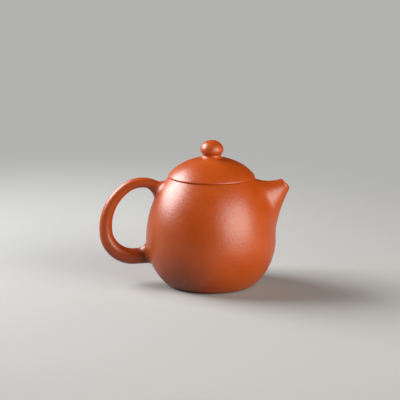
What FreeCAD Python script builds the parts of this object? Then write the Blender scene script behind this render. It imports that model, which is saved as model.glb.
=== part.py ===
import FreeCAD
import Part
import math
import os

from FreeCAD import Vector

# Egg-shaped clay teapot: a pot with a beak spout and a loop handle, and a domed lid with a ball knob.
# Lengths are in millimetres and angles in degrees.
# The pot's axis is Z and it stands on Z = 0. The spout points to +X and the handle to -X.

# Egg: two half ellipses of revolution that meet at the belly, from the floor's edge to the lid's seam
BELLY_RADIUS = 42.6
BELLY_HEIGHT = 30.3
BASE_RADIUS = 30.1
SEAM_RADIUS = 27.7
SEAM_HEIGHT = 71.6
WALL = 2.8

# Foot ring and floor
FOOT_HEIGHT = 1.6
FOOT_WIDTH = 5.0
FOOT_INSET = 3.0
FOOT_TAPER = 1.0
FLOOR_THICKNESS = 2.4
EDGE_ROUND = 0.5

# Mouth ring, which carries the lid on its flat top
MOUTH_RING_HEIGHT = 5.1
MOUTH_RIM_WIDTH = 5.1
MOUTH_BORE_LENGTH = 3.0

# Lid
LID_CLEARANCE = 0.3
LID_OVERHANG = 0.6
LID_EDGE_HEIGHT = 0.8
DOME_RISE = 12.4
DOME_CENTRE_DROP = 10.4
CROWN_THICKNESS = 3.4
FLANGE_DEPTH = 7.5
FLANGE_THICKNESS = 2.4

# Knob
COLLAR_RADIUS = 7.0
NECK_RADIUS = 6.0
NECK_HEIGHT = 2.3
KNOB_RADIUS = 7.6
KNOB_UPPER_HEIGHT = 6.4
KNOB_LOWER_HEIGHT = 4.6
VENT_RADIUS = 1.0

# Spout: ellipses strung between an upper and a lower outline, with a straight channel inside
SPOUT_REACH = 5.7
SPOUT_TIP_DROP = 3.75
SPOUT_TIP_HEIGHT = 8.2
SPOUT_TIP_WIDTH = 8.6
SPOUT_TIP_TILT = 43.5
SPOUT_SADDLE = 1.6
SPOUT_TIP_LEAN_ANGLE = 25.0
SPOUT_ROOT_HEIGHT = 32.0
SPOUT_ROOT_WIDTH = 29.0
SPOUT_ROOT_SINK = 0.3
SPOUT_FLARE_POWER = 1.4
SPOUT_SECTIONS = 7
CHANNEL_TILT = 43.0
CHANNEL_TIP_RADIUS = 3.0
PORT_RADIUS = 7.0

# Pierced ball behind the spout
STRAINER_RADIUS = 8.8
STRAINER_WALL = 1.5
STRAINER_HOLE_RADIUS = 0.9
STRAINER_RING_ANGLE = 22.0
STRAINER_RINGS = 3

# Handle: a round loop whose middle line is three tangent arcs
HANDLE_REACH = 2.2
HANDLE_TOP_DROP = 4.3
HANDLE_TOP_ARC_RADIUS = 18.3
HANDLE_BACK_ARC_RADIUS = 33.1
HANDLE_LOWER_ARC_RADIUS = 17.3
HANDLE_TOP_TURN_ANGLE = 36.6
HANDLE_BACK_TURN_ANGLE = 96.8
HANDLE_UPPER_SLOPE_ANGLE = 22.0
HANDLE_LOWER_SLOPE_ANGLE = 4.0
HANDLE_TOP_RADIUS = 3.3
HANDLE_LOWER_RADIUS = 5.2
HANDLE_UPPER_ROOT_WIDENING = 2.0
HANDLE_LOWER_ROOT_WIDENING = 1.0
HANDLE_SECTIONS = 11

# How finely a closed section is drawn, and how far cutters run past what they cut
SECTION_POINTS = 12
CUT_PAST = 2.0

ORIGIN = Vector(0, 0, 0)
UP = Vector(0, 0, 1)
ACROSS = Vector(0, 1, 0)

# Sizes that follow from the ones above
EGG_BELOW_BELLY = (BELLY_HEIGHT - FOOT_HEIGHT) / math.sqrt(1 - (BASE_RADIUS / BELLY_RADIUS) ** 2)
EGG_ABOVE_BELLY = (SEAM_HEIGHT - BELLY_HEIGHT) / math.sqrt(1 - (SEAM_RADIUS / BELLY_RADIUS) ** 2)
FLOOR_TOP = FOOT_HEIGHT + FLOOR_THICKNESS
MOUTH_RING_BASE = SEAM_HEIGHT - MOUTH_RING_HEIGHT


def at(radius, height):
    """A point in the plane of the spout and the handle."""
    return Vector(radius, 0, height)


def toward(tilt):
    """The unit vector that rises by a tilt from +X."""
    return at(math.cos(math.radians(tilt)), math.sin(math.radians(tilt)))


def egg_radius(height, inset=0.0):
    """The egg's radius at a height, on its outside or on the surface a wall further in."""
    rise = height - BELLY_HEIGHT
    semi_axis = (EGG_ABOVE_BELLY if rise > 0 else EGG_BELOW_BELLY) - inset
    return (BELLY_RADIUS - inset) * math.sqrt(max(0.0, 1 - (rise / semi_axis) ** 2))


MOUTH_RADIUS = SEAM_RADIUS - MOUTH_RIM_WIDTH
LID_RADIUS = SEAM_RADIUS + LID_OVERHANG
FLANGE_RADIUS = MOUTH_RADIUS - LID_CLEARANCE
LID_EDGE = SEAM_HEIGHT + LID_EDGE_HEIGHT
DOME_CENTRE = LID_EDGE - DOME_CENTRE_DROP
DOME_SEMI_HEIGHT = DOME_CENTRE_DROP + DOME_RISE
DOME_RADIUS = LID_RADIUS / math.sqrt(1 - (DOME_CENTRE_DROP / DOME_SEMI_HEIGHT) ** 2)
DOME_SEAT = DOME_CENTRE + DOME_SEMI_HEIGHT * math.sqrt(1 - (COLLAR_RADIUS / DOME_RADIUS) ** 2)
NECK_TOP = DOME_SEAT + NECK_HEIGHT
KNOB_CENTRE = NECK_TOP + KNOB_LOWER_HEIGHT * math.sqrt(1 - (NECK_RADIUS / KNOB_RADIUS) ** 2)
SPOUT_TIP = at(BELLY_RADIUS + SPOUT_REACH, SEAM_HEIGHT - SPOUT_TIP_DROP)
HANDLE_APEX = at(-BELLY_RADIUS - HANDLE_REACH, SEAM_HEIGHT - HANDLE_TOP_DROP)


def path(*points):
    """Straight edges from point to point."""
    return [Part.makeLine(start, end) for start, end in zip(points, points[1:])]


def bend(start, corner, end):
    """A rounded corner that leaves start and reaches end along the corner's two sides."""
    curve = Part.BezierCurve()
    curve.setPoles([start, corner, end])
    return [curve.toShape()]


def ellipse_arc(centre, radius, semi_height, low, high):
    """The stretch between two heights of a quarter ellipse, above its centre or below it."""
    middle = at(0, centre)
    side = at(radius, centre)
    pole = at(0, centre + math.copysign(semi_height, low + high - 2 * centre))
    longer, shorter = (side, pole) if radius >= semi_height else (pole, side)
    ellipse = Part.Ellipse(longer, shorter, middle)
    ends = []
    for height in (low, high):
        share = min(1.0, abs(height - centre) / semi_height)
        ends.append(ellipse.parameter(at(radius * math.sqrt(1 - share ** 2), height)))
    return [ellipse.toShape(min(ends), max(ends))]


def egg_edges(low, high, inset=0.0):
    """The egg's outline from one height below the belly, or at it, to one above."""
    radius = BELLY_RADIUS - inset
    edges = []
    if low < BELLY_HEIGHT:
        edges += ellipse_arc(BELLY_HEIGHT, radius, EGG_BELOW_BELLY - inset, low, min(high, BELLY_HEIGHT))
    if high > BELLY_HEIGHT:
        edges += ellipse_arc(BELLY_HEIGHT, radius, EGG_ABOVE_BELLY - inset, max(low, BELLY_HEIGHT), high)
    return edges


def turned(edges):
    """The solid that an outline sweeps around the pot's axis, from a start clear of spout and handle."""
    face = Part.Face(Part.Wire(Part.__sortEdges__(edges)))
    face.rotate(ORIGIN, UP, 90)
    solid = face.revolve(ORIGIN, UP, 360)
    if solid.Volume < 0:
        solid.reverse()
    return solid


def whole_egg(inset=0.0):
    """The egg as a full solid."""
    low = BELLY_HEIGHT - EGG_BELOW_BELLY + inset
    high = BELLY_HEIGHT + EGG_ABOVE_BELLY - inset
    return turned(egg_edges(low, high, inset) + path(at(0, high), at(0, low)))


def way_to_egg(start, direction, inset=0.0):
    """How far a point outside the egg is from it along a direction, found by halving."""
    near, far = 0.0, BELLY_RADIUS
    while far - near > 1e-6:
        middle = (near + far) / 2
        point = start + direction * middle
        outside = math.hypot(point.x, point.y) > egg_radius(point.z, inset)
        near, far = (middle, far) if outside else (near, middle)
    return near


def section(centre, upward, half_height, half_width):
    """A closed ellipse in the plane of an upward direction and the line across the pot."""
    points = []
    for step in range(SECTION_POINTS):
        angle = 2 * math.pi * step / SECTION_POINTS
        rise = upward * (half_height * math.cos(angle))
        points.append(centre + rise + ACROSS * (half_width * math.sin(angle)))
    curve = Part.BSplineCurve()
    curve.interpolate(Points=points, PeriodicFlag=True)
    return Part.Wire([curve.toShape()])


def make_body_wall(channel):
    """The egg-shaped wall between floor and mouth ring, with the port behind the spout."""
    edges = egg_edges(FLOOR_TOP, MOUTH_RING_BASE)
    edges += egg_edges(FLOOR_TOP, MOUTH_RING_BASE, WALL)
    for height in (FLOOR_TOP, MOUTH_RING_BASE):
        edges += path(at(egg_radius(height, WALL), height), at(egg_radius(height), height))
    return turned(edges).cut(channel)


def make_base_disc():
    """The disc that closes the wall's lower end and goes on with its curve."""
    side = FOOT_HEIGHT + EDGE_ROUND
    flat = at(BASE_RADIUS - EDGE_ROUND, FOOT_HEIGHT)
    edges = path(at(egg_radius(FLOOR_TOP), FLOOR_TOP), at(0, FLOOR_TOP), at(0, FOOT_HEIGHT), flat)
    edges += bend(flat, at(BASE_RADIUS, FOOT_HEIGHT), at(egg_radius(side), side))
    edges += egg_edges(side, FLOOR_TOP)
    return turned(edges)


def make_foot_ring():
    """The low ring that the pot stands on."""
    outer_top = BASE_RADIUS - FOOT_INSET
    outer = outer_top - FOOT_TAPER
    inner = outer_top - FOOT_WIDTH
    edges = path(at(outer, EDGE_ROUND), at(outer_top, FOOT_HEIGHT), at(inner, FOOT_HEIGHT),
                 at(inner, EDGE_ROUND))
    edges += bend(at(inner, EDGE_ROUND), at(inner, 0), at(inner + EDGE_ROUND, 0))
    edges += path(at(inner + EDGE_ROUND, 0), at(outer - EDGE_ROUND, 0))
    edges += bend(at(outer - EDGE_ROUND, 0), at(outer, 0), at(outer, EDGE_ROUND))
    return turned(edges)


def make_mouth_ring():
    """The thick ring around the mouth, with a bore for the lid's flange."""
    side = SEAM_HEIGHT - EDGE_ROUND
    flat = at(SEAM_RADIUS - EDGE_ROUND, SEAM_HEIGHT)
    edges = egg_edges(MOUTH_RING_BASE, side)
    edges += bend(at(egg_radius(side), side), at(SEAM_RADIUS, SEAM_HEIGHT), flat)
    edges += path(flat, at(MOUTH_RADIUS, SEAM_HEIGHT),
                  at(MOUTH_RADIUS, SEAM_HEIGHT - MOUTH_BORE_LENGTH),
                  at(egg_radius(MOUTH_RING_BASE, WALL), MOUTH_RING_BASE),
                  at(egg_radius(MOUTH_RING_BASE), MOUTH_RING_BASE))
    return turned(edges)


def make_lid_flange():
    """The ring under the lid, which fits the mouth's bore with a clearance."""
    inner = FLANGE_RADIUS - FLANGE_THICKNESS
    end = SEAM_HEIGHT - FLANGE_DEPTH
    side = at(FLANGE_RADIUS, end + EDGE_ROUND)
    flat = at(FLANGE_RADIUS - EDGE_ROUND, end)
    edges = path(side, at(FLANGE_RADIUS, SEAM_HEIGHT), at(inner, SEAM_HEIGHT), at(inner, end), flat)
    edges += bend(flat, at(FLANGE_RADIUS, end), side)
    return turned(edges)


def make_lid_dome():
    """The domed lid, with a flat seat for the collar and a flat rim that rests on the mouth ring."""
    inner = FLANGE_RADIUS - FLANGE_THICKNESS
    crown = LID_EDGE + DOME_RISE - CROWN_THICKNESS
    hollow = crown - SEAM_HEIGHT
    hollow_radius = (inner ** 2 + hollow ** 2) / (2 * hollow)

    def inside(radius):
        return at(radius, crown - hollow_radius + math.sqrt(hollow_radius ** 2 - radius ** 2))

    rim = at(LID_RADIUS, LID_EDGE)
    rest = at(LID_RADIUS - LID_EDGE_HEIGHT, SEAM_HEIGHT)
    edges = path(at(inner, SEAM_HEIGHT), rest)
    edges += bend(rest, at(LID_RADIUS, SEAM_HEIGHT), rim)
    edges += ellipse_arc(DOME_CENTRE, DOME_RADIUS, DOME_SEMI_HEIGHT, LID_EDGE, DOME_SEAT)
    edges += path(at(COLLAR_RADIUS, DOME_SEAT), at(VENT_RADIUS, DOME_SEAT), inside(VENT_RADIUS))
    hollow_middle = inside((VENT_RADIUS + inner) / 2)
    edges.append(Part.Arc(inside(VENT_RADIUS), hollow_middle, at(inner, SEAM_HEIGHT)).toShape())
    return turned(edges)


def make_knob_collar():
    """The low flared collar between lid and knob, with the vent through it."""
    foot = at(COLLAR_RADIUS, DOME_SEAT)
    top = at(NECK_RADIUS, NECK_TOP)
    edges = bend(foot, at(NECK_RADIUS, DOME_SEAT + NECK_HEIGHT / 4), top)
    edges += path(top, at(VENT_RADIUS, NECK_TOP), at(VENT_RADIUS, DOME_SEAT), foot)
    return turned(edges)


def make_knob_ball():
    """The ball, flatter below than above, cut flat where it sits on the collar and pierced by the vent."""
    top = KNOB_CENTRE + KNOB_UPPER_HEIGHT * math.sqrt(1 - (VENT_RADIUS / KNOB_RADIUS) ** 2)
    edges = ellipse_arc(KNOB_CENTRE, KNOB_RADIUS, KNOB_LOWER_HEIGHT, NECK_TOP, KNOB_CENTRE)
    edges += ellipse_arc(KNOB_CENTRE, KNOB_RADIUS, KNOB_UPPER_HEIGHT, KNOB_CENTRE, top)
    edges += path(at(VENT_RADIUS, top), at(VENT_RADIUS, NECK_TOP), at(NECK_RADIUS, NECK_TOP))
    return turned(edges)


def make_channel():
    """The way out for the tea: a cone from the spout's tip to the wall, and a port through the wall."""
    inward = toward(CHANNEL_TILT) * -1
    length = way_to_egg(SPOUT_TIP, inward)
    through = way_to_egg(SPOUT_TIP, inward, WALL) - length
    widening = (PORT_RADIUS - CHANNEL_TIP_RADIUS) / length
    cone = Part.makeCone(CHANNEL_TIP_RADIUS - widening * CUT_PAST, PORT_RADIUS, length + CUT_PAST,
                         SPOUT_TIP - inward * CUT_PAST, inward)
    port = Part.makeCylinder(PORT_RADIUS, through + PORT_RADIUS, SPOUT_TIP + inward * length, inward)
    return cone.fuse(port)


def make_lid_space():
    """The space that the lid needs above the seam, with its clearance."""
    radius = LID_RADIUS + LID_CLEARANCE
    return Part.makeCylinder(radius, LID_EDGE_HEIGHT + DOME_RISE, at(0, SEAM_HEIGHT - LID_CLEARANCE), UP)


def make_spout(channel, egg):
    """The beak: its lower outline leaves the belly upright, and its upper one dips like a saddle."""
    mouth_up = toward(SPOUT_TIP_TILT + 90)
    upper_tip = SPOUT_TIP + mouth_up * (SPOUT_TIP_HEIGHT / 2)
    lower_tip = SPOUT_TIP - mouth_up * (SPOUT_TIP_HEIGHT / 2)
    upper_root = at(SEAM_RADIUS - SPOUT_ROOT_SINK, SEAM_HEIGHT)
    lower_root = at(egg_radius(SPOUT_ROOT_HEIGHT) - SPOUT_ROOT_SINK, SPOUT_ROOT_HEIGHT)
    reach = lower_tip.x - lower_root.x
    climb = lower_tip.z - lower_root.z
    lean = climb * math.tan(math.radians(SPOUT_TIP_LEAN_ANGLE))
    wires = []
    for step in range(SPOUT_SECTIONS):
        share = step / (SPOUT_SECTIONS - 1)
        saddle = 4 * SPOUT_SADDLE * share * (1 - share)
        upper = upper_tip + (upper_root - upper_tip) * share - UP * saddle
        way = 1 - share
        bulge = reach * (3 * way ** 2 - 2 * way ** 3) + lean * (way ** 3 - way ** 2)
        lower = at(lower_root.x + bulge, lower_root.z + climb * way)
        width = SPOUT_TIP_WIDTH + (SPOUT_ROOT_WIDTH - SPOUT_TIP_WIDTH) * share ** SPOUT_FLARE_POWER
        across = upper - lower
        wires.append(section((upper + lower) / 2, across / across.Length, across.Length / 2, width / 2))
    return Part.makeLoft(wires, True, False).cut(egg).cut(channel).cut(make_lid_space())


def make_ball_strainer():
    """The pierced ball that stands into the pot around the port."""
    inward = toward(CHANNEL_TILT) * -1
    centre = SPOUT_TIP + inward * way_to_egg(SPOUT_TIP, inward, WALL)
    inner = STRAINER_RADIUS - STRAINER_WALL
    shell = Part.makeSphere(STRAINER_RADIUS).cut(Part.makeSphere(inner))
    shell.Placement = FreeCAD.Placement(centre, FreeCAD.Rotation(inward * -1, ORIGIN, ACROSS, "ZXY"))
    drills = []
    for ring in range(STRAINER_RINGS + 1):
        count = max(1, 6 * ring)
        for place in range(count):
            turn = FreeCAD.Rotation(inward, 360 * place / count)
            lean = FreeCAD.Rotation(ACROSS, STRAINER_RING_ANGLE * ring)
            aim = turn.multVec(lean.multVec(inward))
            drills.append(Part.makeCylinder(STRAINER_HOLE_RADIUS, 2 * STRAINER_WALL,
                                            centre + aim * (inner - STRAINER_WALL / 2), aim))
    return shell.cut(Part.makeCompound(drills)).common(whole_egg(WALL))


def handle_point(heading):
    """The place on the handle's middle line where it has turned by a heading from level at its top."""
    turns = ((HANDLE_TOP_ARC_RADIUS, min(heading, HANDLE_TOP_TURN_ANGLE), 0),
             (HANDLE_BACK_ARC_RADIUS, min(heading, HANDLE_BACK_TURN_ANGLE), HANDLE_TOP_TURN_ANGLE),
             (HANDLE_LOWER_ARC_RADIUS, heading, HANDLE_BACK_TURN_ANGLE))
    point = HANDLE_APEX
    for radius, last, first in turns:
        if last > first or first == 0:
            last, first = math.radians(last), math.radians(first)
            point = point + at(math.sin(first) - math.sin(last), math.cos(last) - math.cos(first)) * radius
    return point


def handle_section(point, heading, radius):
    """A round section across the handle's middle line."""
    return section(point, toward(90 + heading), radius, radius)


def make_handle(egg):
    """The loop, lofted through round sections that thicken downwards and flare at both roots."""
    first = -HANDLE_UPPER_SLOPE_ANGLE
    last = 180 + HANDLE_LOWER_SLOPE_ANGLE
    wires = []
    for step in range(HANDLE_SECTIONS):
        heading = first + (last - first) * step / (HANDLE_SECTIONS - 1)
        share = (1 - math.cos(math.radians(min(180, max(0, heading))))) / 2
        radius = HANDLE_TOP_RADIUS + (HANDLE_LOWER_RADIUS - HANDLE_TOP_RADIUS) * share
        wires.append(handle_section(handle_point(heading), heading, radius))
    roots = ((first, toward(first), HANDLE_TOP_RADIUS, HANDLE_UPPER_ROOT_WIDENING),
             (last, toward(last - 180), HANDLE_LOWER_RADIUS, HANDLE_LOWER_ROOT_WIDENING))
    ends = []
    for heading, inward, radius, flare in roots:
        start = handle_point(heading)
        run = way_to_egg(start, inward)
        wide = radius + flare
        ends.append([handle_section(start + inward * run, heading, wide),
                     handle_section(start + inward * (run + 2 * wide), heading, radius)])
    wires = ends[0][::-1] + wires + ends[1]
    return Part.makeLoft(wires, True, False).cut(egg).cut(make_lid_space())


def make_parts():
    """Every piece of the teapot by name."""
    channel = make_channel()
    egg = whole_egg()
    return {
        "body_wall": make_body_wall(channel),
        "base_disc": make_base_disc(),
        "foot_ring": make_foot_ring(),
        "mouth_ring": make_mouth_ring(),
        "spout": make_spout(channel, egg),
        "ball_strainer": make_ball_strainer(),
        "handle": make_handle(egg),
        "lid_flange": make_lid_flange(),
        "lid_dome": make_lid_dome(),
        "knob_collar": make_knob_collar(),
        "knob_ball": make_knob_ball(),
    }


os.makedirs("parts", exist_ok=True)
for name, shape in make_parts().items():
    shape.exportStep(f"parts/{name}.step")
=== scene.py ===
"""Dresses the egg-shaped clay teapot.

Wall and lid are turned, spout and handle are blended into the egg, and all of it is sandy, burnished clay.
"""

import logging
import math
from dataclasses import dataclass
from enum import Enum
from typing import Any

import bmesh
import bpy
import numpy as np
from mathutils import Euler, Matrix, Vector


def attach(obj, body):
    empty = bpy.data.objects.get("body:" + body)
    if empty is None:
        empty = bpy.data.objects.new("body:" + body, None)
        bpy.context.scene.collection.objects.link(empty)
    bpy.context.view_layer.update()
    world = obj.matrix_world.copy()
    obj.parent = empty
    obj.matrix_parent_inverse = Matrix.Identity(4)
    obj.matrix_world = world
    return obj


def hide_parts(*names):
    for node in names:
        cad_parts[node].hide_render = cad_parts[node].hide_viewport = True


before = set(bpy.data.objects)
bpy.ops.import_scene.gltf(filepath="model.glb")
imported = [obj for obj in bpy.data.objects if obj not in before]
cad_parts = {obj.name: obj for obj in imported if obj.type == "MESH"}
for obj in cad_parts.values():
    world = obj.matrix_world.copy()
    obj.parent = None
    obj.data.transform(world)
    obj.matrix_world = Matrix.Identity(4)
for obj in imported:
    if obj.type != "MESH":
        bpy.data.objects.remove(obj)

log = logging.getLogger("teapot")

MM = 0.001
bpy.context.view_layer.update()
ACROSS = np.array([0.0, 1.0, 0.0])
# How far the hidden edges of spout and handle lie under the egg's surface, in millimetres.
TUCK = 0.05
# The middle of a noise pattern's range.
MIDDLE = 0.5

Point = tuple[float, float]
Profile = list[Point]
Triple = tuple[float, float, float]
Colour = tuple[float, float, float, float]


class Body(Enum):
    """The moving groups that a piece can ride on."""

    POT = "pot"
    GUIDE = "lid_guide"
    LID = "lid"


class Half(Enum):
    """The two halves of the knob's ball."""

    UPPER = "upper"
    LOWER = "lower"


class Signal:
    """A value inside a material. Sums and products of signals add Math nodes to it."""

    def __init__(self, graph: "Graph", socket: bpy.types.NodeSocket | None) -> None:
        """Wraps an output socket of a graph's node."""
        self.graph = graph
        self.socket = socket

    def _math(self, operation: str, left: Any, right: Any) -> "Signal":
        """One Math node on two values or signals."""
        return self.graph.node("ShaderNodeMath", {"operation": operation}, {0: left, 1: right})

    def __add__(self, other: Any) -> "Signal":
        """Signal plus a value."""
        return self._math("ADD", self, other)

    def __radd__(self, other: Any) -> "Signal":
        """Value plus a signal."""
        return self._math("ADD", other, self)

    def __sub__(self, other: Any) -> "Signal":
        """Signal minus a value."""
        return self._math("SUBTRACT", self, other)

    def __rsub__(self, other: Any) -> "Signal":
        """Value minus a signal."""
        return self._math("SUBTRACT", other, self)

    def __mul__(self, other: Any) -> "Signal":
        """Signal times a value."""
        return self._math("MULTIPLY", self, other)

    def __rmul__(self, other: Any) -> "Signal":
        """Value times a signal."""
        return self._math("MULTIPLY", other, self)


@dataclass(frozen=True)
class Pattern:
    """A noise pattern: its waves to the metre, its finer layers and their strength."""

    scale: float | Triple
    detail: float
    roughness: float


@dataclass(frozen=True)
class Relief:
    """How a pattern stands out from a surface: its full height in metres and how much of it shows."""

    depth: float
    strength: float


class Graph:
    """The node tree of one material, emptied and built up node by node."""

    # A Mix node's colour sockets go by number, because others have the same names.
    MIX_START = 6
    MIX_END = 7
    MIX_RESULT = 2

    def __init__(self, name: str) -> None:
        """Makes a material with an empty tree.

        Args:
            name: the material's name.
        """
        self.material = bpy.data.materials.new(name)
        self.material.use_nodes = True
        self.tree = self.material.node_tree
        self.tree.nodes.clear()

    def node(self, kind: str, settings: dict[str, Any] | None = None, sockets: dict[Any, Any] | None = None,
             output: int | str = 0) -> Signal:
        """Adds any node.

        Args:
            kind: the node's type name.
            settings: properties, which are set first.
            sockets: values or signals for its inputs, by name or number.
            output: the output that the returned signal reads.

        Returns:
            The chosen output as a signal, which is empty if the node has no outputs.
        """
        made = self.tree.nodes.new(kind)
        for key, value in (settings or {}).items():
            setattr(made, key, value)
        for key, value in (sockets or {}).items():
            if isinstance(value, Signal):
                self.tree.links.new(value.socket, made.inputs[key])
            else:
                made.inputs[key].default_value = value
        return Signal(self, made.outputs[output] if made.outputs else None)

    def noise(self, place: Signal, pattern: Pattern) -> Signal:
        """Lays a noise pattern on a surface.

        Args:
            place: the coordinates that it follows.
            pattern: the pattern.

        Returns:
            Its value at each place.
        """
        scale = pattern.scale
        if isinstance(scale, tuple):
            place = self.node("ShaderNodeVectorMath", {"operation": "MULTIPLY"}, {0: place, 1: scale})
            scale = 1.0
        return self.node("ShaderNodeTexNoise", None, {
            "Vector": place, "Scale": scale, "Detail": pattern.detail, "Roughness": pattern.roughness})

    def mask(self, value: Signal, span: Point) -> Signal:
        """Nothing below the span, all above it, and an even rise between."""
        sockets = {"Value": value, "From Min": span[0], "From Max": span[1]}
        return self.node("ShaderNodeMapRange", None, sockets)

    def blend(self, mask: Signal, start: Any, end: Any) -> Signal:
        """Mixes two colours by a mask."""
        sockets = {0: mask, self.MIX_START: start, self.MIX_END: end}
        return self.node("ShaderNodeMix", {"data_type": "RGBA"}, sockets, self.MIX_RESULT)

    def bump(self, height: Signal, relief: Relief, under: Signal | None = None) -> Signal:
        """Raises a pattern.

        Args:
            height: the pattern.
            relief: how it stands out.
            under: the raised pattern that it lies on, if there is one.

        Returns:
            The bent normals.
        """
        sockets = {"Strength": relief.strength, "Distance": relief.depth, "Height": height}
        if under:
            sockets["Normal"] = under
        return self.node("ShaderNodeBump", None, sockets)

    def close(self, shader: Signal) -> bpy.types.Material:
        """Gives the material its shader and returns it."""
        self.node("ShaderNodeOutputMaterial", None, {"Surface": shader})
        return self.material


@dataclass(frozen=True)
class ClayFinish:
    """Unglazed clay with sand in it, pressed and burnished to a satin sheen, with painted shade in its
    hollows.

    A span is the stretch of a pattern over which a mask rises. A share is how much of a mask shows.
    A swing is how much a pattern changes the roughness.
    """

    name: str = "burnished_clay"
    colour: Colour = (0.43, 0.060, 0.0018, 1.0)
    pale: Colour = (0.50, 0.088, 0.005, 1.0)
    # the colour of the darker patches, and also of the painted shade in hollows and creases
    deep_and_shade: Colour = (0.33, 0.037, 0.0012, 1.0)
    roughness: float = 0.38
    gloss: float = 0.60
    patches: Pattern = Pattern(60.0, 4.0, 0.6)
    grain: Pattern = Pattern(600.0, 3.0, 0.65)
    strokes: Pattern = Pattern((45.0, 45.0, 1500.0), 3.0, 0.5)
    presses: Pattern = Pattern((330.0, 330.0, 620.0), 2.0, 0.5)
    grain_relief: Relief = Relief(0.12 * MM, 1.0)
    stroke_relief: Relief = Relief(0.025 * MM, 0.5)
    press_relief: Relief = Relief(0.05 * MM, 0.6)
    pale_span: Point = (0.45, 0.75)
    deep_span: Point = (0.25, 0.50)
    patch_share: float = 0.30
    worn_span: Point = (0.52, 0.62)
    worn_share: float = 0.25
    # painted shade: where the pointiness is low, in hollows and creases, the clay is painted darker
    hollow_shade_span: Point = (0.38, 0.48)
    hollow_shade_share: float = 0.45
    speck_scale: float = 600.0
    speck_draw: Point = (0.80, 0.90)
    speck_edge: Point = (0.18, 0.36)
    speck_share: float = 0.40
    speck_pit: float = 0.5
    grain_swing: float = 0.10
    patch_swing: float = 0.08
    stroke_swing: float = 0.06
    worn_polish: float = 0.05

    def _specks(self, graph: Graph, place: Signal) -> Signal:
        """The few sand grains that show.

        Args:
            graph: the material's graph.
            place: the coordinates that the grains follow.

        Returns:
            Their mask.
        """
        cells = {"Vector": place, "Scale": self.speck_scale}
        away = graph.node("ShaderNodeTexVoronoi", None, cells, "Distance")
        drawn = graph.node("ShaderNodeTexVoronoi", None, cells, "Color")
        chance = graph.node("ShaderNodeRGBToBW", None, {"Color": drawn})
        return graph.mask(chance, self.speck_draw) * (1 - graph.mask(away, self.speck_edge))

    def build(self) -> bpy.types.Material:
        """Makes the material.

        Returns:
            The finished material.
        """
        graph = Graph(self.name)
        place = graph.node("ShaderNodeTexCoord", output="Object")
        patches = graph.noise(place, self.patches)
        grain = graph.noise(place, self.grain)
        strokes = graph.noise(place, self.strokes)
        presses = graph.noise(place, self.presses)
        specks = self._specks(graph, place)
        edge = graph.node("ShaderNodeNewGeometry", output="Pointiness")
        worn = graph.mask(edge, self.worn_span)
        # painted shade: a mask that rises in hollows and creases, where the pointiness is low
        hollow_shade = 1 - graph.mask(edge, self.hollow_shade_span)
        pale_patch = graph.mask(patches, self.pale_span)
        deep_patch = 1 - graph.mask(patches, self.deep_span)

        tone = graph.blend(self.patch_share * pale_patch, self.colour, self.pale)
        tone = graph.blend(self.patch_share * deep_patch, tone, self.deep_and_shade)
        tone = graph.blend(self.speck_share * specks, tone, self.pale)
        tone = graph.blend(self.worn_share * worn, tone, self.pale)
        # paints shade into the hollows and creases with the darker colour
        tone = graph.blend(self.hollow_shade_share * hollow_shade, tone, self.deep_and_shade)

        swings = ((grain, self.grain_swing), (patches, self.patch_swing), (strokes, self.stroke_swing))
        rough = self.roughness - self.worn_polish * worn
        for pattern, swing in swings:
            rough = rough + swing * (pattern - MIDDLE)

        normal = graph.bump(strokes, self.stroke_relief)
        normal = graph.bump(presses, self.press_relief, normal)
        normal = graph.bump(grain - self.speck_pit * specks, self.grain_relief, normal)
        return graph.close(graph.node("ShaderNodeBsdfPrincipled", None, {
            "Base Color": tone, "Roughness": rough, "Normal": normal, "Specular IOR Level": self.gloss}))


@dataclass(frozen=True)
class FloorFinish:
    """A plain pale studio floor that keeps the pot's shadow and runs into an even backdrop far away.

    The bounce is what the floor throws back at the pot. The fade is the distances from the pot, in metres,
    between which floor turns into backdrop.
    """

    name: str = "studio_floor"
    colour: Colour = (0.435, 0.42, 0.405, 1.0)
    shade: Colour = (0.42, 0.405, 0.39, 1.0)
    mottle: Pattern = Pattern(6.0, 2.0, 0.5)
    roughness: float = 0.9
    far_colour: Colour = (0.45, 0.45, 0.44, 1.0)
    bounce: Colour = (0.07, 0.07, 0.07, 1.0)
    fade: Point = (0.16, 0.55)

    def build(self) -> bpy.types.Material:
        """Makes the material.

        Returns:
            The finished material.
        """
        graph = Graph(self.name)
        place = graph.node("ShaderNodeTexCoord", output="Object")
        tone = graph.blend(graph.noise(place, self.mottle), self.colour, self.shade)
        away = graph.node("ShaderNodeVectorMath", {"operation": "LENGTH"}, {0: place}, "Value")
        far = graph.node("ShaderNodeMapRange", {"interpolation_type": "SMOOTHSTEP"},
                         {"Value": away, "From Min": self.fade[0], "From Max": self.fade[1]})
        near = graph.node("ShaderNodeBsdfPrincipled", None,
                          {"Base Color": tone, "Roughness": self.roughness, "Specular IOR Level": 0.0})
        backdrop = graph.node("ShaderNodeEmission", None, {"Color": self.far_colour, "Strength": 1.0})
        shown = graph.node("ShaderNodeMixShader", None, {0: far, 1: near, 2: backdrop})
        dim = graph.node("ShaderNodeBsdfDiffuse", None, {"Color": self.bounce})
        camera, glossy, through = (graph.node("ShaderNodeLightPath", output=f"Is {ray} Ray")
                                   for ray in ("Camera", "Glossy", "Transmission"))
        return graph.close(graph.node("ShaderNodeMixShader", None,
                                      {0: camera + glossy + through, 1: dim, 2: shown}))


def graded(start: float, end: float, steps: int) -> list[float]:
    """Even steps from one value to another, both included."""
    return [start + (end - start) * step / steps for step in range(steps + 1)]


def full_turn(count: int) -> np.ndarray:
    """Angles around a ring, from its top."""
    return np.linspace(0, 2 * math.pi, count, endpoint=False)


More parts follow.
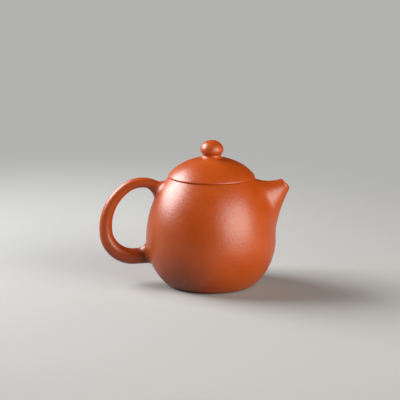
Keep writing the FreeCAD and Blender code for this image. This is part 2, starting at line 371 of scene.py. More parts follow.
def arc_points(start: Point, corner: Point, end: Point, steps: int = 6) -> Profile:
    """A rounded corner between two points of an outline.

    Args:
        start: where the rounding starts.
        corner: the sharp corner that it replaces.
        end: where it ends.
        steps: how many stretches it has.

    Returns:
        The points from start to end.
    """
    points = []
    for t in graded(0, 1, steps):
        weights = ((1 - t) ** 2, 2 * t * (1 - t), t * t)
        points.append(tuple(sum(w * p[i] for w, p in zip(weights, (start, corner, end))) for i in (0, 1)))
    return points


class Mesher:
    """Turns rings of points into closed, smooth meshes."""

    SHARP = math.radians(38)
    WELD = 1e-7
    SLIVER = 1e-8

    @staticmethod
    def rings(name: str, rings: np.ndarray, joined: bool = True) -> bpy.types.Object:
        """A skin through rings of points.

        Args:
            name: the piece's name.
            rings: points as (ring, place around, xyz), in millimetres.
            joined: whether the last ring joins the first.

        Returns:
            The object, linked to the scene.
        """
        count, around = rings.shape[:2]
        mesh = bpy.data.meshes.new(name)
        index = np.arange(count * around).reshape(count, around)
        beside = np.roll(index, -1, axis=1)
        faces = np.stack([index, beside, np.roll(beside, -1, axis=0), np.roll(index, -1, axis=0)], axis=-1)
        faces = faces if joined else faces[:-1]
        mesh.from_pydata((rings.reshape(-1, 3) * MM).tolist(), [], faces.reshape(-1, 4).tolist())
        return Mesher.settle(name, mesh)

    @staticmethod
    def settle(name: str, mesh: bpy.types.Mesh) -> bpy.types.Object:
        """Welds a mesh, turns its faces outwards, smooths it and links it.

        Args:
            name: the piece's name.
            mesh: the mesh, in metres.

        Returns:
            The object that shows it.
        """
        shape = bmesh.new()
        shape.from_mesh(mesh)
        bmesh.ops.remove_doubles(shape, verts=shape.verts, dist=Mesher.WELD)
        bmesh.ops.dissolve_degenerate(shape, edges=shape.edges, dist=Mesher.SLIVER)
        bmesh.ops.recalc_face_normals(shape, faces=shape.faces)
        shape.to_mesh(mesh)
        shape.free()
        mesh.shade_smooth()
        mesh.set_sharp_from_angle(angle=Mesher.SHARP)
        piece = bpy.data.objects.new(name, mesh)
        bpy.context.scene.collection.objects.link(piece)
        return piece

    @staticmethod
    def lathe(name: str, profile: Profile, around: int = 192) -> bpy.types.Object:
        """Turns a closed outline around the pot's axis.

        Args:
            name: the piece's name.
            profile: the outline as (radius, height), in millimetres.
            around: how many flats the round has.

        Returns:
            The object, linked to the scene.
        """
        outline = np.array(profile)
        angle = (np.arange(around) + 0.5) * 2 * math.pi / around
        rings = np.stack([outline[:, :1] * np.cos(angle), outline[:, :1] * np.sin(angle),
                          np.repeat(outline[:, 1:], around, axis=1)], axis=-1)
        return Mesher.rings(name, rings)

    @staticmethod
    def carve(piece: bpy.types.Object, cutter: bpy.types.Object) -> None:
        """Cuts one closed mesh out of another and removes the cutter.

        Args:
            piece: the object that is cut.
            cutter: the object that is taken out of it.
        """
        change = piece.modifiers.new("cut", "BOOLEAN")
        change.operation = "DIFFERENCE"
        change.solver = "EXACT"
        change.object = cutter
        graph = bpy.context.evaluated_depsgraph_get()
        carved = bpy.data.meshes.new_from_object(piece.evaluated_get(graph))
        piece.modifiers.clear()
        old = piece.data
        carved.name = old.name
        piece.data = carved
        carved.set_sharp_from_angle(angle=Mesher.SHARP)
        bpy.data.meshes.remove(old)
        bpy.data.objects.remove(cutter)


@dataclass(frozen=True)
class Egg:
    """The pot's surface: two half ellipses of revolution that meet at the belly, in millimetres."""

    belly_radius: float = 42.58
    belly_height: float = 30.3
    base: Point = (30.1, 1.6)
    seam: Point = (27.7, 71.6)

    def _semi_height(self, end: Point) -> float:
        """The half axis of the ellipse from the belly through an end."""
        return abs(end[1] - self.belly_height) / math.sqrt(1 - (end[0] / self.belly_radius) ** 2)

    @property
    def below(self) -> float:
        """The lower half's height, if it ran on to the axis."""
        return self._semi_height(self.base)

    @property
    def above(self) -> float:
        """The upper half's height, if it ran on to the axis."""
        return self._semi_height(self.seam)

    def radius(self, height: float, inset: float = 0.0) -> float:
        """The radius at a height.

        Args:
            height: the height above the table.
            inset: how far inside the surface.

        Returns:
            The distance from the pot's axis.
        """
        rise = height - self.belly_height
        semi = (self.above if rise > 0 else self.below) - inset
        return (self.belly_radius - inset) * math.sqrt(max(0.0, 1 - (rise / semi) ** 2))

    def outline(self, low: float, high: float, steps: int, inset: float = 0.0) -> Profile:
        """Points up the egg's side between two heights."""
        return [(self.radius(z, inset), z) for z in graded(low, high, steps)]

    def _from_middle(self, points: np.ndarray) -> np.ndarray:
        """Points as seen from the belly's middle."""
        return points - np.array([0, 0, self.belly_height])

    def _weights(self, points: np.ndarray) -> np.ndarray:
        """One over the squared half axes.

        Args:
            points: the places.

        Returns:
            The weights of x, y and z at each place.
        """
        semi = np.where(points[..., 2] > self.belly_height, self.above, self.below)
        side = np.full_like(semi, self.belly_radius)
        return 1 / np.stack([side, side, semi], axis=-1) ** 2

    def level(self, points: np.ndarray) -> np.ndarray:
        """Below zero inside the egg, above zero outside."""
        return np.sum(self._from_middle(points) ** 2 * self._weights(points), axis=-1) - 1

    def normal(self, points: np.ndarray) -> np.ndarray:
        """Outward unit normals."""
        slope = self._from_middle(points) * self._weights(points)
        return slope / np.linalg.norm(slope, axis=-1, keepdims=True)

    def settle(self, points: np.ndarray, sink: float = 0.0, rounds: int = 6) -> np.ndarray:
        """Moves nearby points onto the egg.

        Args:
            points: the points, near the surface.
            sink: how far under the surface they end.
            rounds: how often their places are bettered.

        Returns:
            The moved points.
        """
        for _ in range(rounds):
            slope = 2 * self._from_middle(points) * self._weights(points)
            steep = np.sum(slope * slope, axis=-1, keepdims=True)
            points = points - slope * self.level(points)[..., None] / steep
        return points - sink * self.normal(points)

    def along(self, points: np.ndarray, direction: np.ndarray) -> np.ndarray:
        """Directions laid into the surface.

        Args:
            points: places on the surface.
            direction: a direction for each.

        Returns:
            Unit vectors.
        """
        normal = self.normal(points)
        flat = direction - normal * np.sum(direction * normal, axis=-1, keepdims=True)
        return flat / np.linalg.norm(flat, axis=-1, keepdims=True)


EGG = Egg()


@dataclass(frozen=True)
class Strands:
    """Lines along a limb's skin, one for each place around it.

    Args:
        points: the lines' points as (line, step, xyz), in millimetres.
        places: how far along each step is, the same on every line.
    """

    points: np.ndarray
    places: np.ndarray

    def at(self, spots: np.ndarray) -> np.ndarray:
        """The point of each line at a spot of its own."""
        return np.array([[np.interp(spot, self.places, line[:, axis]) for axis in range(3)]
                         for spot, line in zip(spots, self.points)])

    def entry(self) -> np.ndarray:
        """Finds where each line first goes into the egg.

        Returns:
            One spot on each line.
        """
        levels = EGG.level(self.points)
        row = np.arange(len(levels))
        inside = np.argmax(levels < 0, axis=1)
        outside = np.maximum(inside - 1, 0)
        high, low = levels[row, outside], levels[row, inside]
        drop = np.where(high > low, high - low, 1.0)
        share = np.clip(np.where(high > low, high / drop, 0.0), 0, 1)
        return self.places[outside] + (self.places[inside] - self.places[outside]) * share

    def before(self, spots: np.ndarray, distance: np.ndarray, least: float) -> np.ndarray:
        """Finds spots that lie some way before others, measured along the lines.

        Args:
            spots: one spot on each line.
            distance: how far before it, in millimetres.
            least: the share of the way to the spot that is kept in any case.

        Returns:
            The earlier spots.
        """
        steps = np.linalg.norm(np.diff(self.points, axis=1), axis=-1)
        lengths = np.concatenate([np.zeros((len(steps), 1)), np.cumsum(steps, axis=1)], axis=1)
        earlier = []
        for length, spot, gap in zip(lengths, spots, distance):
            here = np.interp(spot, self.places, length)
            earlier.append(np.interp(max(here - gap, least * here), length, self.places))
        return np.array(earlier)


def fillet(start: np.ndarray, leave: np.ndarray, end: np.ndarray, land: np.ndarray, steps: int) -> np.ndarray:
    """Smooth curves between two rings of points.

    Args:
        start: the ring that the curves leave.
        leave: unit directions there.
        end: the ring that they reach.
        land: unit directions there.
        steps: how many stretches each curve has.

    Returns:
        The rings between start and end, and end.
    """
    reach = np.linalg.norm(end - start, axis=-1, keepdims=True)
    rings = []
    for t in graded(0, 1, steps)[1:]:
        go, stop = t ** 3 - 2 * t ** 2 + t, t ** 3 - t ** 2
        share = 3 * t ** 2 - 2 * t ** 3
        rings.append((1 - share) * start + go * reach * leave + share * end + stop * reach * land)
    return np.array(rings)


def spread_around(angle: np.ndarray, top: float, beside: float, bottom: float) -> np.ndarray:
    """Sizes that change smoothly around a ring.

    Args:
        angle: angles around the ring, from its top.
        top: the size at the top.
        beside: the size on both sides.
        bottom: the size at the bottom.

    Returns:
        The size at each angle.
    """
    cosine = np.cos(angle)
    upper, lower = np.clip(cosine, 0, 1), np.clip(-cosine, 0, 1)
    return beside * np.sin(angle) ** 2 + top * upper ** 2 + bottom * lower ** 2


@dataclass
class SubAssembly:
    """A group of clay pieces of one finish."""

    finish: bpy.types.Material

    def dress(self, piece: bpy.types.Object, body: Body, node: str) -> None:
        """Gives a piece its finish and its body, and lets it stand for a node.

        Args:
            piece: the modelled piece.
            body: the moving group that it rides on.
            node: the node whose place it takes.
        """
        piece.data.materials.clear()
        piece.data.materials.append(self.finish)
        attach(piece, body.value)
        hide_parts(node)
        log.info("%s stands for %s on %s", piece.name, node, body.value)


@dataclass
class PotShell(SubAssembly):
    """The pot's turned pieces: foot, floor, wall and mouth, in millimetres."""

    wall: float = 2.8
    foot_height: float = 1.6
    foot_width: float = 5.0
    foot_inset: float = 3.0
    foot_taper: float = 1.0
    foot_swell: float = 0.2
    foot_curve: float = 0.3
    floor_top: float = 4.0
    floor_core: float = 4.0
    ring_base: float = 66.5
    seam: float = 71.6
    rim_width: float = 5.1
    bore_length: float = 3.0
    bore_round: float = 0.3
    step_out: float = 1.2
    step_up: float = 0.8
    step_down: float = 0.5
    edge: float = 0.5

    @property
    def mouth_radius(self) -> float:
        """The bore that the lid's flange goes into."""
        return EGG.radius(self.seam) - self.rim_width

    def make_foot(self) -> None:
        """The foot ring."""
        top = EGG.radius(self.foot_height) - self.foot_inset
        outer, inner, edge = top - self.foot_taper, top - self.foot_width, self.edge
        side = (outer + self.foot_swell, edge)
        profile = [(inner, self.foot_height)]
        profile += arc_points((inner, edge), (inner, 0), (inner + edge, 0))
        profile += arc_points((outer - edge, 0), (outer, 0), side)
        profile += arc_points(side, (top - self.foot_curve, 2 * edge), (top, self.foot_height))[1:]
        self.dress(Mesher.lathe("foot_ring_clay", profile), Body.POT, "foot_ring")

    def make_floor(self) -> None:
        """The floor disc, whose edge goes on with the wall's curve."""
        low, high, core = self.foot_height, self.floor_top, self.floor_core
        side, round_off = low + self.edge, 2 * self.edge
        bottom = EGG.radius(low)
        profile = [(0, high), (0, low)]
        profile += [(r, low) for r in graded(core, bottom - round_off, steps=6)]
        profile += arc_points((bottom - round_off, low), (bottom, low), (EGG.radius(side), side))[1:]
        profile += EGG.outline(side, high, steps=5)[1:]
        profile += [(r, high) for r in graded(EGG.radius(high) - core / 2, core, steps=6)]
        self.dress(Mesher.lathe("floor_clay", profile), Body.POT, "base_disc")

    def make_wall(self, port: bpy.types.Object) -> None:
        """The egg wall, pierced behind the spout.

        Args:
            port: the bar that is cut out of it.
        """
        profile = EGG.outline(self.floor_top, self.ring_base, steps=90)
        profile += EGG.outline(self.floor_top, self.ring_base, steps=50, inset=self.wall)[::-1]
        piece = Mesher.lathe("egg_wall_clay", profile)
        Mesher.carve(piece, port)
        self.dress(piece, Body.POT, "body_wall")

    def make_mouth(self) -> None:
        """The mouth ring, rounded at the seam and stepped inside."""
        seam, bore, soft = self.seam, self.mouth_radius, self.bore_round
        rim, side = EGG.radius(seam), seam - self.edge
        step = seam - self.bore_length
        profile = EGG.outline(self.ring_base, side, steps=16)
        profile += arc_points((EGG.radius(side), side), (rim, seam), (rim - self.edge, seam))[1:]
        profile += [(r, seam) for r in graded(rim - self.edge, bore + soft, steps=3)[1:]]
        profile += arc_points((bore + soft, seam), (bore, seam), (bore, seam - soft), steps=3)[1:]
        profile += arc_points((bore, step + self.step_up), (bore, step),
                              (bore + self.step_out, step - self.step_down), steps=4)
        profile += [(EGG.radius(self.ring_base, self.wall), self.ring_base)]
        self.dress(Mesher.lathe("mouth_ring_clay", profile), Body.POT, "mouth_ring")

    def build(self, port: bpy.types.Object) -> None:
        """Makes the four pieces.

        Args:
            port: the bar that is cut out of the wall.
        """
        self.make_foot()
        self.make_floor()
        self.make_wall(port)
        self.make_mouth()


@dataclass
class Spout(SubAssembly):
    """The beak: sections strung between two outlines, blended into the egg, in millimetres and degrees.

    Fillets are given above, beside and below the beak.
    """

    tip: Triple = (48.3, 0.0, 67.85)
    tip_height: float = 8.2
    tip_width: float = 8.6
    tip_tilt: float = 43.5
    tip_lean: float = 25.0
    saddle: float = 1.5
    root_low: float = 32.0
    root_high: float = 70.7
    root_width: float = 28.0
    flare: float = 1.4
    sink: float = 0.3
    lip: float = 0.7
    lip_share: float = 0.03
    channel_tilt: float = 43.0
    channel_tip: float = 3.0
    port: float = 7.0
    port_span: Point = (6.0, 28.0)
    fillets: Triple = (0.8, 5.0, 3.0)
    free_share: float = 0.35
    nudge: float = 0.01
    probe: float = 40.0
    samples: int = 401
    around: int = 112

    @staticmethod
    def _toward(tilt: float) -> np.ndarray:
        """The unit vector that rises by a tilt from +X."""
        return np.array([math.cos(math.radians(tilt)), 0.0, math.sin(math.radians(tilt))])

    def _ring(self, middle: np.ndarray, half_up: np.ndarray, half_across: float) -> np.ndarray:
        """An upright ellipse of points from its middle, its upper half axis and its half width."""
        angle = full_turn(self.around)[:, None]
        return middle + half_up * np.cos(angle) + half_across * ACROSS * np.sin(angle)

    def _section(self, share: float) -> np.ndarray:
        """The ring of points at a share of the way from tip to root.

        Args:
            share: nothing at the tip, one at the root.

        Returns:
            The ring.
        """
        half_tip = self._toward(self.tip_tilt + 90) * self.tip_height / 2
        upper_tip, lower_tip = self.tip + half_tip, self.tip - half_tip
        upper_root = np.array([EGG.radius(self.root_high) - self.sink, 0, self.root_high])
        low_x = EGG.radius(self.root_low) - self.sink
        reach, climb = lower_tip[0] - low_x, lower_tip[2] - self.root_low
        lean = climb * math.tan(math.radians(self.tip_lean))
        upper = upper_tip + (upper_root - upper_tip) * share
        upper[2] -= 4 * self.saddle * share * (1 - share)
        way = 1 - share
        bulge = reach * (3 * way ** 2 - 2 * way ** 3) + lean * (way ** 3 - way ** 2)
        lower = np.array([low_x + bulge, 0, self.root_low + climb * way])
        width = self.tip_width + (self.root_width - self.tip_width) * share ** self.flare
        return self._ring((upper + lower) / 2, (upper - lower) / 2, width / 2)

    def _outer_rings(self) -> np.ndarray:
        """The skin from the lip to the footprint on the egg.

        Returns:
            Its rings.
        """
        shares = np.linspace(0.0, 1.0, self.samples)
        skin = Strands(np.stack([self._section(share) for share in shares], axis=1), shares)
        entry = skin.entry()
        spread = spread_around(full_turn(self.around), *self.fillets)
        leave = skin.before(entry, spread, self.free_share)
        rings = [skin.at(self.lip_share + (leave - self.lip_share) * t) for t in graded(0, 1, steps=36)]
        meet = skin.at(entry)
        axis = self._toward(self.channel_tilt)
        off_axis = meet - self.tip - axis * np.sum((meet - self.tip) * axis, axis=-1, keepdims=True)
        outward = EGG.along(meet, off_axis)
        foot = EGG.settle(meet + outward * spread[:, None])
        step = skin.at(np.clip(leave + self.nudge, 0, 1)) - rings[-1]
        way = step / np.linalg.norm(step, axis=-1, keepdims=True)
        return np.concatenate([rings, fillet(rings[-1], way, foot, EGG.along(foot, outward), steps=16)])

    def _mouth_ring(self, inset: float, back: float) -> np.ndarray:
        """A ring inside the mouth's outline.

        Args:
            inset: how far inside.
            back: how far behind the mouth's plane.

        Returns:
            The ring.
        """
        middle = self.tip - self._toward(self.tip_tilt) * back
        half_up = self._toward(self.tip_tilt + 90) * (self.tip_height / 2 - inset)
        return self._ring(middle, half_up, self.tip_width / 2 - inset)

    def _lip_rings(self) -> list[np.ndarray]:
        """The lip, rounded over from the skin into the channel.

        Returns:
            Its rings.
        """
        thick = (self.tip_height / 2 - self.channel_tip) / 2
        turns = [math.pi * t for t in graded(0, 1, steps=8)[1:-1]]
        return [self._mouth_ring(thick * (1 - math.cos(turn)), self.lip * (1 - math.sin(turn)))
                for turn in turns]

    def _port_ring(self, along: float) -> np.ndarray:
        """A ring of the port's size at a distance from the tip."""
        middle = self.tip - self._toward(self.channel_tilt) * along
        return self._ring(middle, self._toward(self.channel_tilt + 90) * self.port, self.port)

    def _port_on_egg(self) -> np.ndarray:
        """The channel's inner rim, just under the egg's surface.

        Returns:
            Its ring.
        """
        places = np.linspace(0, self.probe, 2 * self.samples - 1)
        inward = -self._toward(self.channel_tilt)
        lines = Strands(self._port_ring(0.0)[:, None, :] + inward * places[:, None], places)
        return EGG.settle(lines.at(lines.entry()), TUCK)

    def build(self) -> None:
        """Makes the spout as one closed skin: outside, lip, channel and underside."""
        outer = self._outer_rings()
        port = self._port_on_egg()
        middle = self.tip - self._toward(self.tip_tilt) * self.lip
        start = self._ring(middle, self._toward(self.tip_tilt + 90) * self.channel_tip, self.channel_tip)
        channel = [start + (port - start) * t for t in graded(0, 1, steps=14)]
        foot = EGG.settle(outer[-1], TUCK)
        under = EGG.settle((foot + port) / 2, TUCK)
        skin = np.concatenate([[foot], outer[::-1], self._lip_rings(), channel, [under]])
        self.dress(Mesher.rings("spout_clay", skin), Body.POT, "spout")

    def port_bar(self) -> bpy.types.Object:
        """Makes the round bar that opens the wall behind the spout.

        Returns:
            The bar, which belongs to no piece.
        """
        rings = [self._port_ring(along) for along in graded(*self.port_span, steps=4)]
        ends = [np.broadcast_to(ring.mean(axis=0), ring.shape) for ring in (rings[0], rings[-1])]
        return Mesher.rings("port_bar", np.stack([ends[0], *rings, ends[1]]))


@dataclass
class Handle(SubAssembly):
    """The loop: a coil along three tangent arcs, blended into the egg, in millimetres and degrees.

    Fillets are given outside, beside and inside the loop.
    """

    apex: Triple = (-44.8, 0.0, 67.3)
    bends: Triple = (18.3, 33.1, 17.3)
    turns: Point = (36.6, 96.8)
    upper_slope: float = 22.0
    lower_slope: float = 4.0
    top_radius: float = 3.3
    lower_radius: float = 5.2
    upper_fillet: Triple = (3.2, 5.0, 6.5)
    lower_fillet: Triple = (1.6, 2.6, 5.0)
    fillet_run: float = 1.3
    root_dish: float = 0.4
    run: float = 22.0
    run_samples: int = 80
    loop_samples: int = 700
    around: int = 72

    def _line(self) -> tuple[np.ndarray, np.ndarray, np.ndarray]:
        """The middle line from inside the shoulder to inside the belly.

        Returns:
            Its points, its unit directions and the coil's radii there.
        """
        headings = np.linspace(-self.upper_slope, 180 + self.lower_slope, self.loop_samples)
        turn = np.radians(headings)
        bend = np.select([headings < self.turns[0], headings < self.turns[1]], self.bends[:2], self.bends[2])
        way = np.stack([-np.cos(turn), 0 * turn, -np.sin(turn)], axis=-1)
        step = (turn[1] - turn[0]) * (bend[1:] + bend[:-1]) / 2
        moves = (way[1:] + way[:-1]) / 2 * step[:, None]
        points = np.concatenate([np.zeros((1, 3)), np.cumsum(moves, axis=0)])
        points += self.apex - points[np.argmin(np.abs(headings))]
        swell = (1 - np.cos(np.clip(turn, 0, math.pi))) / 2
        radii = self.top_radius + (self.lower_radius - self.top_radius) * swell
        lead = np.linspace(self.run, 0, self.run_samples, endpoint=False)[:, None]
        tail = np.linspace(0, self.run, self.run_samples + 1)[1:, None]
        points = np.concatenate([points[0] - way[0] * lead, points, points[-1] + way[-1] * tail])
        ends = ((len(lead), len(tail)),)
        return points, np.pad(way, (*ends, (0, 0)), "edge"), np.pad(radii, ends, "edge")

    def build(self) -> None:
        """Makes the handle as one closed skin with its ends just under the egg's surface."""
        points, way, radii = self._line()
        angle = full_turn(self.around)
        turned = angle[:, None, None]
        radial = np.cross(ACROSS, way) * np.cos(turned) + ACROSS * np.sin(turned)
        steps = np.linalg.norm(np.diff(points, axis=0), axis=-1)
        place = np.concatenate([[0], np.cumsum(steps)])
        skin = Strands(points + radial * radii[:, None], place)
        aside, ahead = Strands(radial, place), Strands(np.broadcast_to(way, radial.shape), place)

        half = len(place) // 2
        back = Strands(skin.points[:, half::-1], place[half] - place[half::-1])
        forth = Strands(skin.points[:, half:], place[half:] - place[half])
        entries = (place[half] - back.entry(), place[half] + forth.entry())
        spreads = [spread_around(angle, *sizes) for sizes in (self.upper_fillet, self.lower_fillet)]
        leaves = [entry - sign * self.fillet_run * spread
                  for entry, spread, sign in zip(entries, spreads, (-1, 1))]
        coil = [skin.at(leaves[0] + (leaves[1] - leaves[0]) * t) for t in graded(0, 1, steps=120)]

        roots = []
        for entry, spread, start, sign in zip(entries, spreads, (coil[0], coil[-1]), (-1, 1)):
            meet = skin.at(entry)
            outward = EGG.along(meet, aside.at(entry))
            foot = EGG.settle(meet + outward * spread[:, None])
            curve = fillet(start, sign * ahead.at(entry), foot, EGG.along(foot, outward), steps=14)
            rim = EGG.settle(foot, TUCK)
            middle = np.broadcast_to(EGG.settle(rim.mean(axis=0), self.root_dish), rim.shape)
            roots.append(np.concatenate([curve, [rim, (rim + middle) / 2, middle]]))
        loop = np.concatenate([roots[0][::-1], coil, roots[1]])
        self.dress(Mesher.rings("handle_clay", loop, joined=False), Body.POT, "handle")


@dataclass
class Strainer(SubAssembly):
    """The pierced ball behind the spout, which keeps its own shape."""

    node: str = "ball_strainer"

    def build(self) -> None:
        """Gives the ball the pot's clay."""
        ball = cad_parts[self.node]
        ball.data.materials.clear()
        ball.data.materials.append(self.finish)
        log.info("%s keeps its own shape", self.node)


@dataclass
class Lid(SubAssembly):
    """The lid's turned pieces: flange, dome, collar and knob, in millimetres."""

    shell: PotShell
    clearance: float = 0.3
    overhang: float = 0.6
    edge_height: float = 0.8
    rise: float = 12.4
    centre_drop: float = 10.4
    crown: float = 3.4
    rim_draft: float = 0.05
    rim_share: float = 0.8
    rim_crest: Point = (0.12, 0.1)
    rim_round: float = 0.35
    flange_depth: float = 7.5
    flange_thickness: float = 2.4
    flange_round: float = 0.6
    joint_gap: float = 0.02
    collar_radius: float = 7.0
    collar_flare: float = 0.4
    collar_gap: float = 0.01
    neck_radius: float = 6.0
    neck_height: float = 2.3
    neck_cling: float = 0.35
    neck_hollow: float = 0.75
    neck_seat: Point = (1.0, 0.05)
    knob_radius: float = 7.6
    knob_upper: float = 6.4
    knob_lower: float = 4.6
    vent: float = 1.0
    vent_chamfer: float = 0.2
    vent_flare: float = 0.12
    vent_round: float = 0.15
    around_knob: int = 128

    @property
    def rim(self) -> float:
        """The lid's largest radius."""
        return EGG.radius(self.shell.seam) + self.overhang

    @property
    def flange(self) -> float:
        """The flange's outer radius."""
        return self.shell.mouth_radius - self.clearance

    @property
    def dome_top(self) -> float:
        """The height of the dome's crown."""
        return self.shell.seam + self.edge_height + self.rise

    def dome(self, radius: float) -> float:
        """The dome's height at a radius, on an ellipse whose middle lies below the rim.

        Args:
            radius: the distance from the pot's axis.

        Returns:
            The height above the table.
        """
        semi = self.centre_drop + self.rise
        wide = self.rim / math.sqrt(1 - (self.centre_drop / semi) ** 2)
        return self.dome_top - semi + semi * math.sqrt(1 - (radius / wide) ** 2)

    @property
    def collar_base(self) -> float:
        """Where the collar stands on the dome."""
        return self.dome(self.collar_radius)

    @property
    def neck_top(self) -> float:
        """Where the ball sits on the collar."""
        return self.collar_base + self.neck_height

    @property
    def knob_centre(self) -> float:
        """The height of the ball's middle."""
        return self.neck_top + self.knob_lower * math.sqrt(1 - (self.neck_radius / self.knob_radius) ** 2)

    def ball(self, radius: float, half: Half) -> float:
        """The ball's height at a radius.

        Args:
            radius: the distance from the pot's axis.
            half: the half of the ball that is meant.

        Returns:
            The height above the table.
        """
        share = math.sqrt(max(0.0, 1 - (radius / self.knob_radius) ** 2))
        return self.knob_centre + (self.knob_upper if half is Half.UPPER else -self.knob_lower) * share

    def make_flange(self) -> None:
        """The ring that goes into the mouth."""
        outer, inner, soft = self.flange, self.flange - self.flange_thickness, self.flange_round
        top, end = self.shell.seam - self.joint_gap, self.shell.seam - self.flange_depth
        profile = [(inner, z) for z in graded(top, end + soft, steps=5)]
        profile += arc_points((inner, end + soft), (inner, end), (inner + soft, end), steps=4)[1:]
        profile += arc_points((outer - soft, end), (outer, end), (outer, end + soft), steps=4)
        profile += [(outer, z) for z in graded(end + soft, top, steps=5)[1:]]
        self.dress(Mesher.lathe("lid_flange_clay", profile), Body.GUIDE, "lid_flange")

    def _rim_profile(self) -> Profile:
        """The dome's rim, rounded from its underside up to its curve.

        Returns:
            The rim's points without the first, where the underside ends.
        """
        seam, rim, edge = self.shell.seam, self.rim, self.edge_height
        side = (rim - self.rim_draft, seam + edge * self.rim_share)
        crest = (rim - self.rim_crest[0], self.dome(rim) + self.rim_crest[1])
        shoulder = rim - self.rim_round
        under = arc_points((rim - edge, seam), (rim, seam + self.rim_draft), side)[1:]
        return under + arc_points(side, crest, (shoulder, self.dome(shoulder)), steps=5)[1:]

    def make_dome(self) -> None:
        """The dome with its rounded rim and hollow underside."""
        seam, top, vent, chamfer = self.shell.seam, self.collar_base, self.vent, self.vent_chamfer
        inner = self.flange - self.flange_thickness
        under_top = self.dome_top - self.crown
        hollow = under_top - seam
        hollow_radius = (inner ** 2 + hollow ** 2) / (2 * hollow)
        profile = [(r, seam) for r in graded(inner, self.rim - self.edge_height, steps=5)]
        profile += self._rim_profile()
        slope = graded(self.rim - self.rim_round, self.collar_radius, steps=60)[1:]
        profile += [(r, self.dome(r)) for r in slope]
        profile += [(vent + chamfer, top), (vent, top - chamfer)]
        profile += [(r, under_top - hollow_radius + math.sqrt(hollow_radius ** 2 - r ** 2))
                    for r in graded(vent, inner, steps=28)[:-1]]
        self.dress(Mesher.lathe("lid_dome_clay", profile), Body.LID, "lid_dome")

    def make_collar(self) -> None:
        """The flared collar, hollowed softly between dome and ball."""
        foot, cling = self.collar_radius + self.collar_flare, self.neck_radius + self.neck_cling
        start = (foot, self.dome(foot) + self.collar_gap)
        end = (cling, self.ball(cling, Half.LOWER) - self.collar_gap)
        waist = (self.neck_radius - self.neck_hollow, (start[1] + end[1]) / 2)
        profile = arc_points(start, waist, end, steps=18)
        profile += [(self.neck_radius - self.neck_seat[0], self.neck_top + self.neck_seat[1])]
        profile += [(self.vent, self.neck_top), (self.vent, self.collar_base)]
        profile += [(self.collar_radius, self.collar_base)]
        self.dress(Mesher.lathe("knob_collar_clay", profile, self.around_knob), Body.LID, "knob_collar")

    def make_knob(self) -> None:
        """The ball, slightly flattened, with the vent down its middle."""
        low = -math.acos(self.neck_radius / self.knob_radius)
        high = math.acos((self.vent + self.vent_flare) / self.knob_radius)
        radii = [self.knob_radius * math.cos(turn) for turn in graded(low, 0, steps=14)]
        profile = [(r, self.ball(r, Half.LOWER)) for r in radii]
        radii = [self.knob_radius * math.cos(turn) for turn in graded(0, high, steps=40)[1:]]
        profile += [(r, self.ball(r, Half.UPPER)) for r in radii]
        top = self.ball(self.vent, Half.UPPER)
        bore = top - self.vent_round
        profile += arc_points(profile[-1], (self.vent, top), (self.vent, bore), steps=4)[1:]
        profile += [(self.vent, z) for z in graded(bore, self.neck_top, steps=5)[1:]]
        self.dress(Mesher.lathe("knob_ball_clay", profile, self.around_knob), Body.LID, "knob_ball")

    def build(self) -> None:
        """Makes the four pieces."""
        self.make_flange()
        self.make_dome()
        self.make_collar()
        self.make_knob()


@dataclass(frozen=True)
class Lamp:
    """A soft box that points at the pot, in metres and watts. Its size is width and height."""

    name: str
    place: Triple
    size: Point
    power: float
    colour: Triple

    def build(self, aim: Triple) -> None:
        """Hangs the lamp and turns it to the aim.

        Args:
            aim: the point that it faces, in metres.
        """
        data = bpy.data.lights.new(self.name, "AREA")
        data.shape = "RECTANGLE"
        data.size, data.size_y = self.size
        data.energy = self.power
        data.color = self.colour
        lamp = bpy.data.objects.new(self.name, data)
        lamp.location = self.place
        lamp.rotation_euler = (Vector(aim) - lamp.location).to_track_quat("-Z", "Y").to_euler()
        bpy.context.scene.collection.objects.link(lamp)


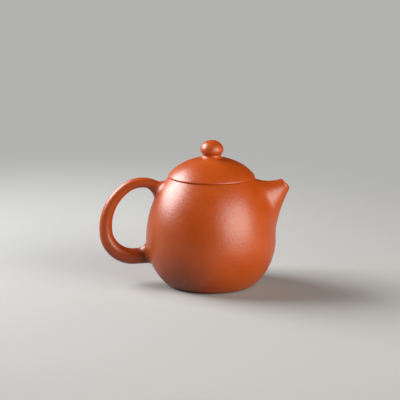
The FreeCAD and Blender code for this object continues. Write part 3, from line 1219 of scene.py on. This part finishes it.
@dataclass
class Studio:
    """Floor, lights and camera, in metres and degrees. The lens is in millimetres."""

    floor_reach: float = 9.0
    camera_place: Triple = (-0.0074, -0.950, 0.2507)
    camera_pitch: float = 11.58
    camera_roll: float = 0.58
    camera_near: float = 0.05
    lens: float = 133.6
    aim: Triple = (0.0, 0.0, 0.045)
    lamps: tuple[Lamp, ...] = (
        Lamp("front_right_box", (0.79, -0.67, 0.36), (0.95, 0.78), 18.0, (1.0, 0.97, 0.90)),
        Lamp("rear_left_box", (-0.80, 0.27, 0.58), (0.78, 0.56), 23.0, (0.94, 0.98, 1.0)))
    surround_colour: Colour = (0.9, 0.92, 1.0, 1.0)
    surround_strength: float = 0.02

    def make_floor(self) -> None:
        """A wide flat floor that fills the view."""
        mesh = bpy.data.meshes.new("floor")
        reach = self.floor_reach
        corners = [(-reach, -reach, 0), (reach, -reach, 0), (reach, reach, 0), (-reach, reach, 0)]
        mesh.from_pydata(corners, [], [(0, 1, 2, 3)])
        floor = bpy.data.objects.new("floor", mesh)
        floor.data.materials.append(FloorFinish().build())
        bpy.context.scene.collection.objects.link(floor)

    def make_camera(self) -> None:
        """The camera at the photographed angle."""
        data = bpy.data.cameras.new("camera")
        data.lens = self.lens
        data.clip_start = self.camera_near
        camera = bpy.data.objects.new("camera", data)
        camera.location = self.camera_place
        tilt = Euler((math.radians(90 - self.camera_pitch), 0, 0)).to_matrix()
        roll = Euler((0, 0, math.radians(self.camera_roll))).to_matrix()
        camera.rotation_euler = (tilt @ roll).to_euler()
        bpy.context.scene.collection.objects.link(camera)
        bpy.context.scene.camera = camera

    def make_lights(self) -> None:
        """Soft boxes and a dim even surround."""
        for lamp in self.lamps:
            lamp.build(self.aim)
        world = bpy.data.worlds.new("surround")
        world.use_nodes = True
        sky = world.node_tree.nodes["Background"]
        sky.inputs["Color"].default_value = self.surround_colour
        sky.inputs["Strength"].default_value = self.surround_strength
        bpy.context.scene.world = world

    def build(self) -> None:
        """Sets up the whole studio."""
        self.make_floor()
        self.make_camera()
        self.make_lights()
        bpy.context.scene.view_settings.view_transform = "Standard"
        log.info("studio with %d lamps", len(self.lamps))


def main() -> None:
    """Builds the pot, its lid and the studio."""
    logging.basicConfig(level=logging.INFO, format="%(name)s: %(message)s")
    clay = ClayFinish().build()
    shell = PotShell(clay)
    spout = Spout(clay)
    shell.build(spout.port_bar())
    spout.build()
    Handle(clay).build()
    Strainer(clay).build()
    Lid(clay, shell).build()
    Studio().build()


if __name__ == "__main__":
    main()
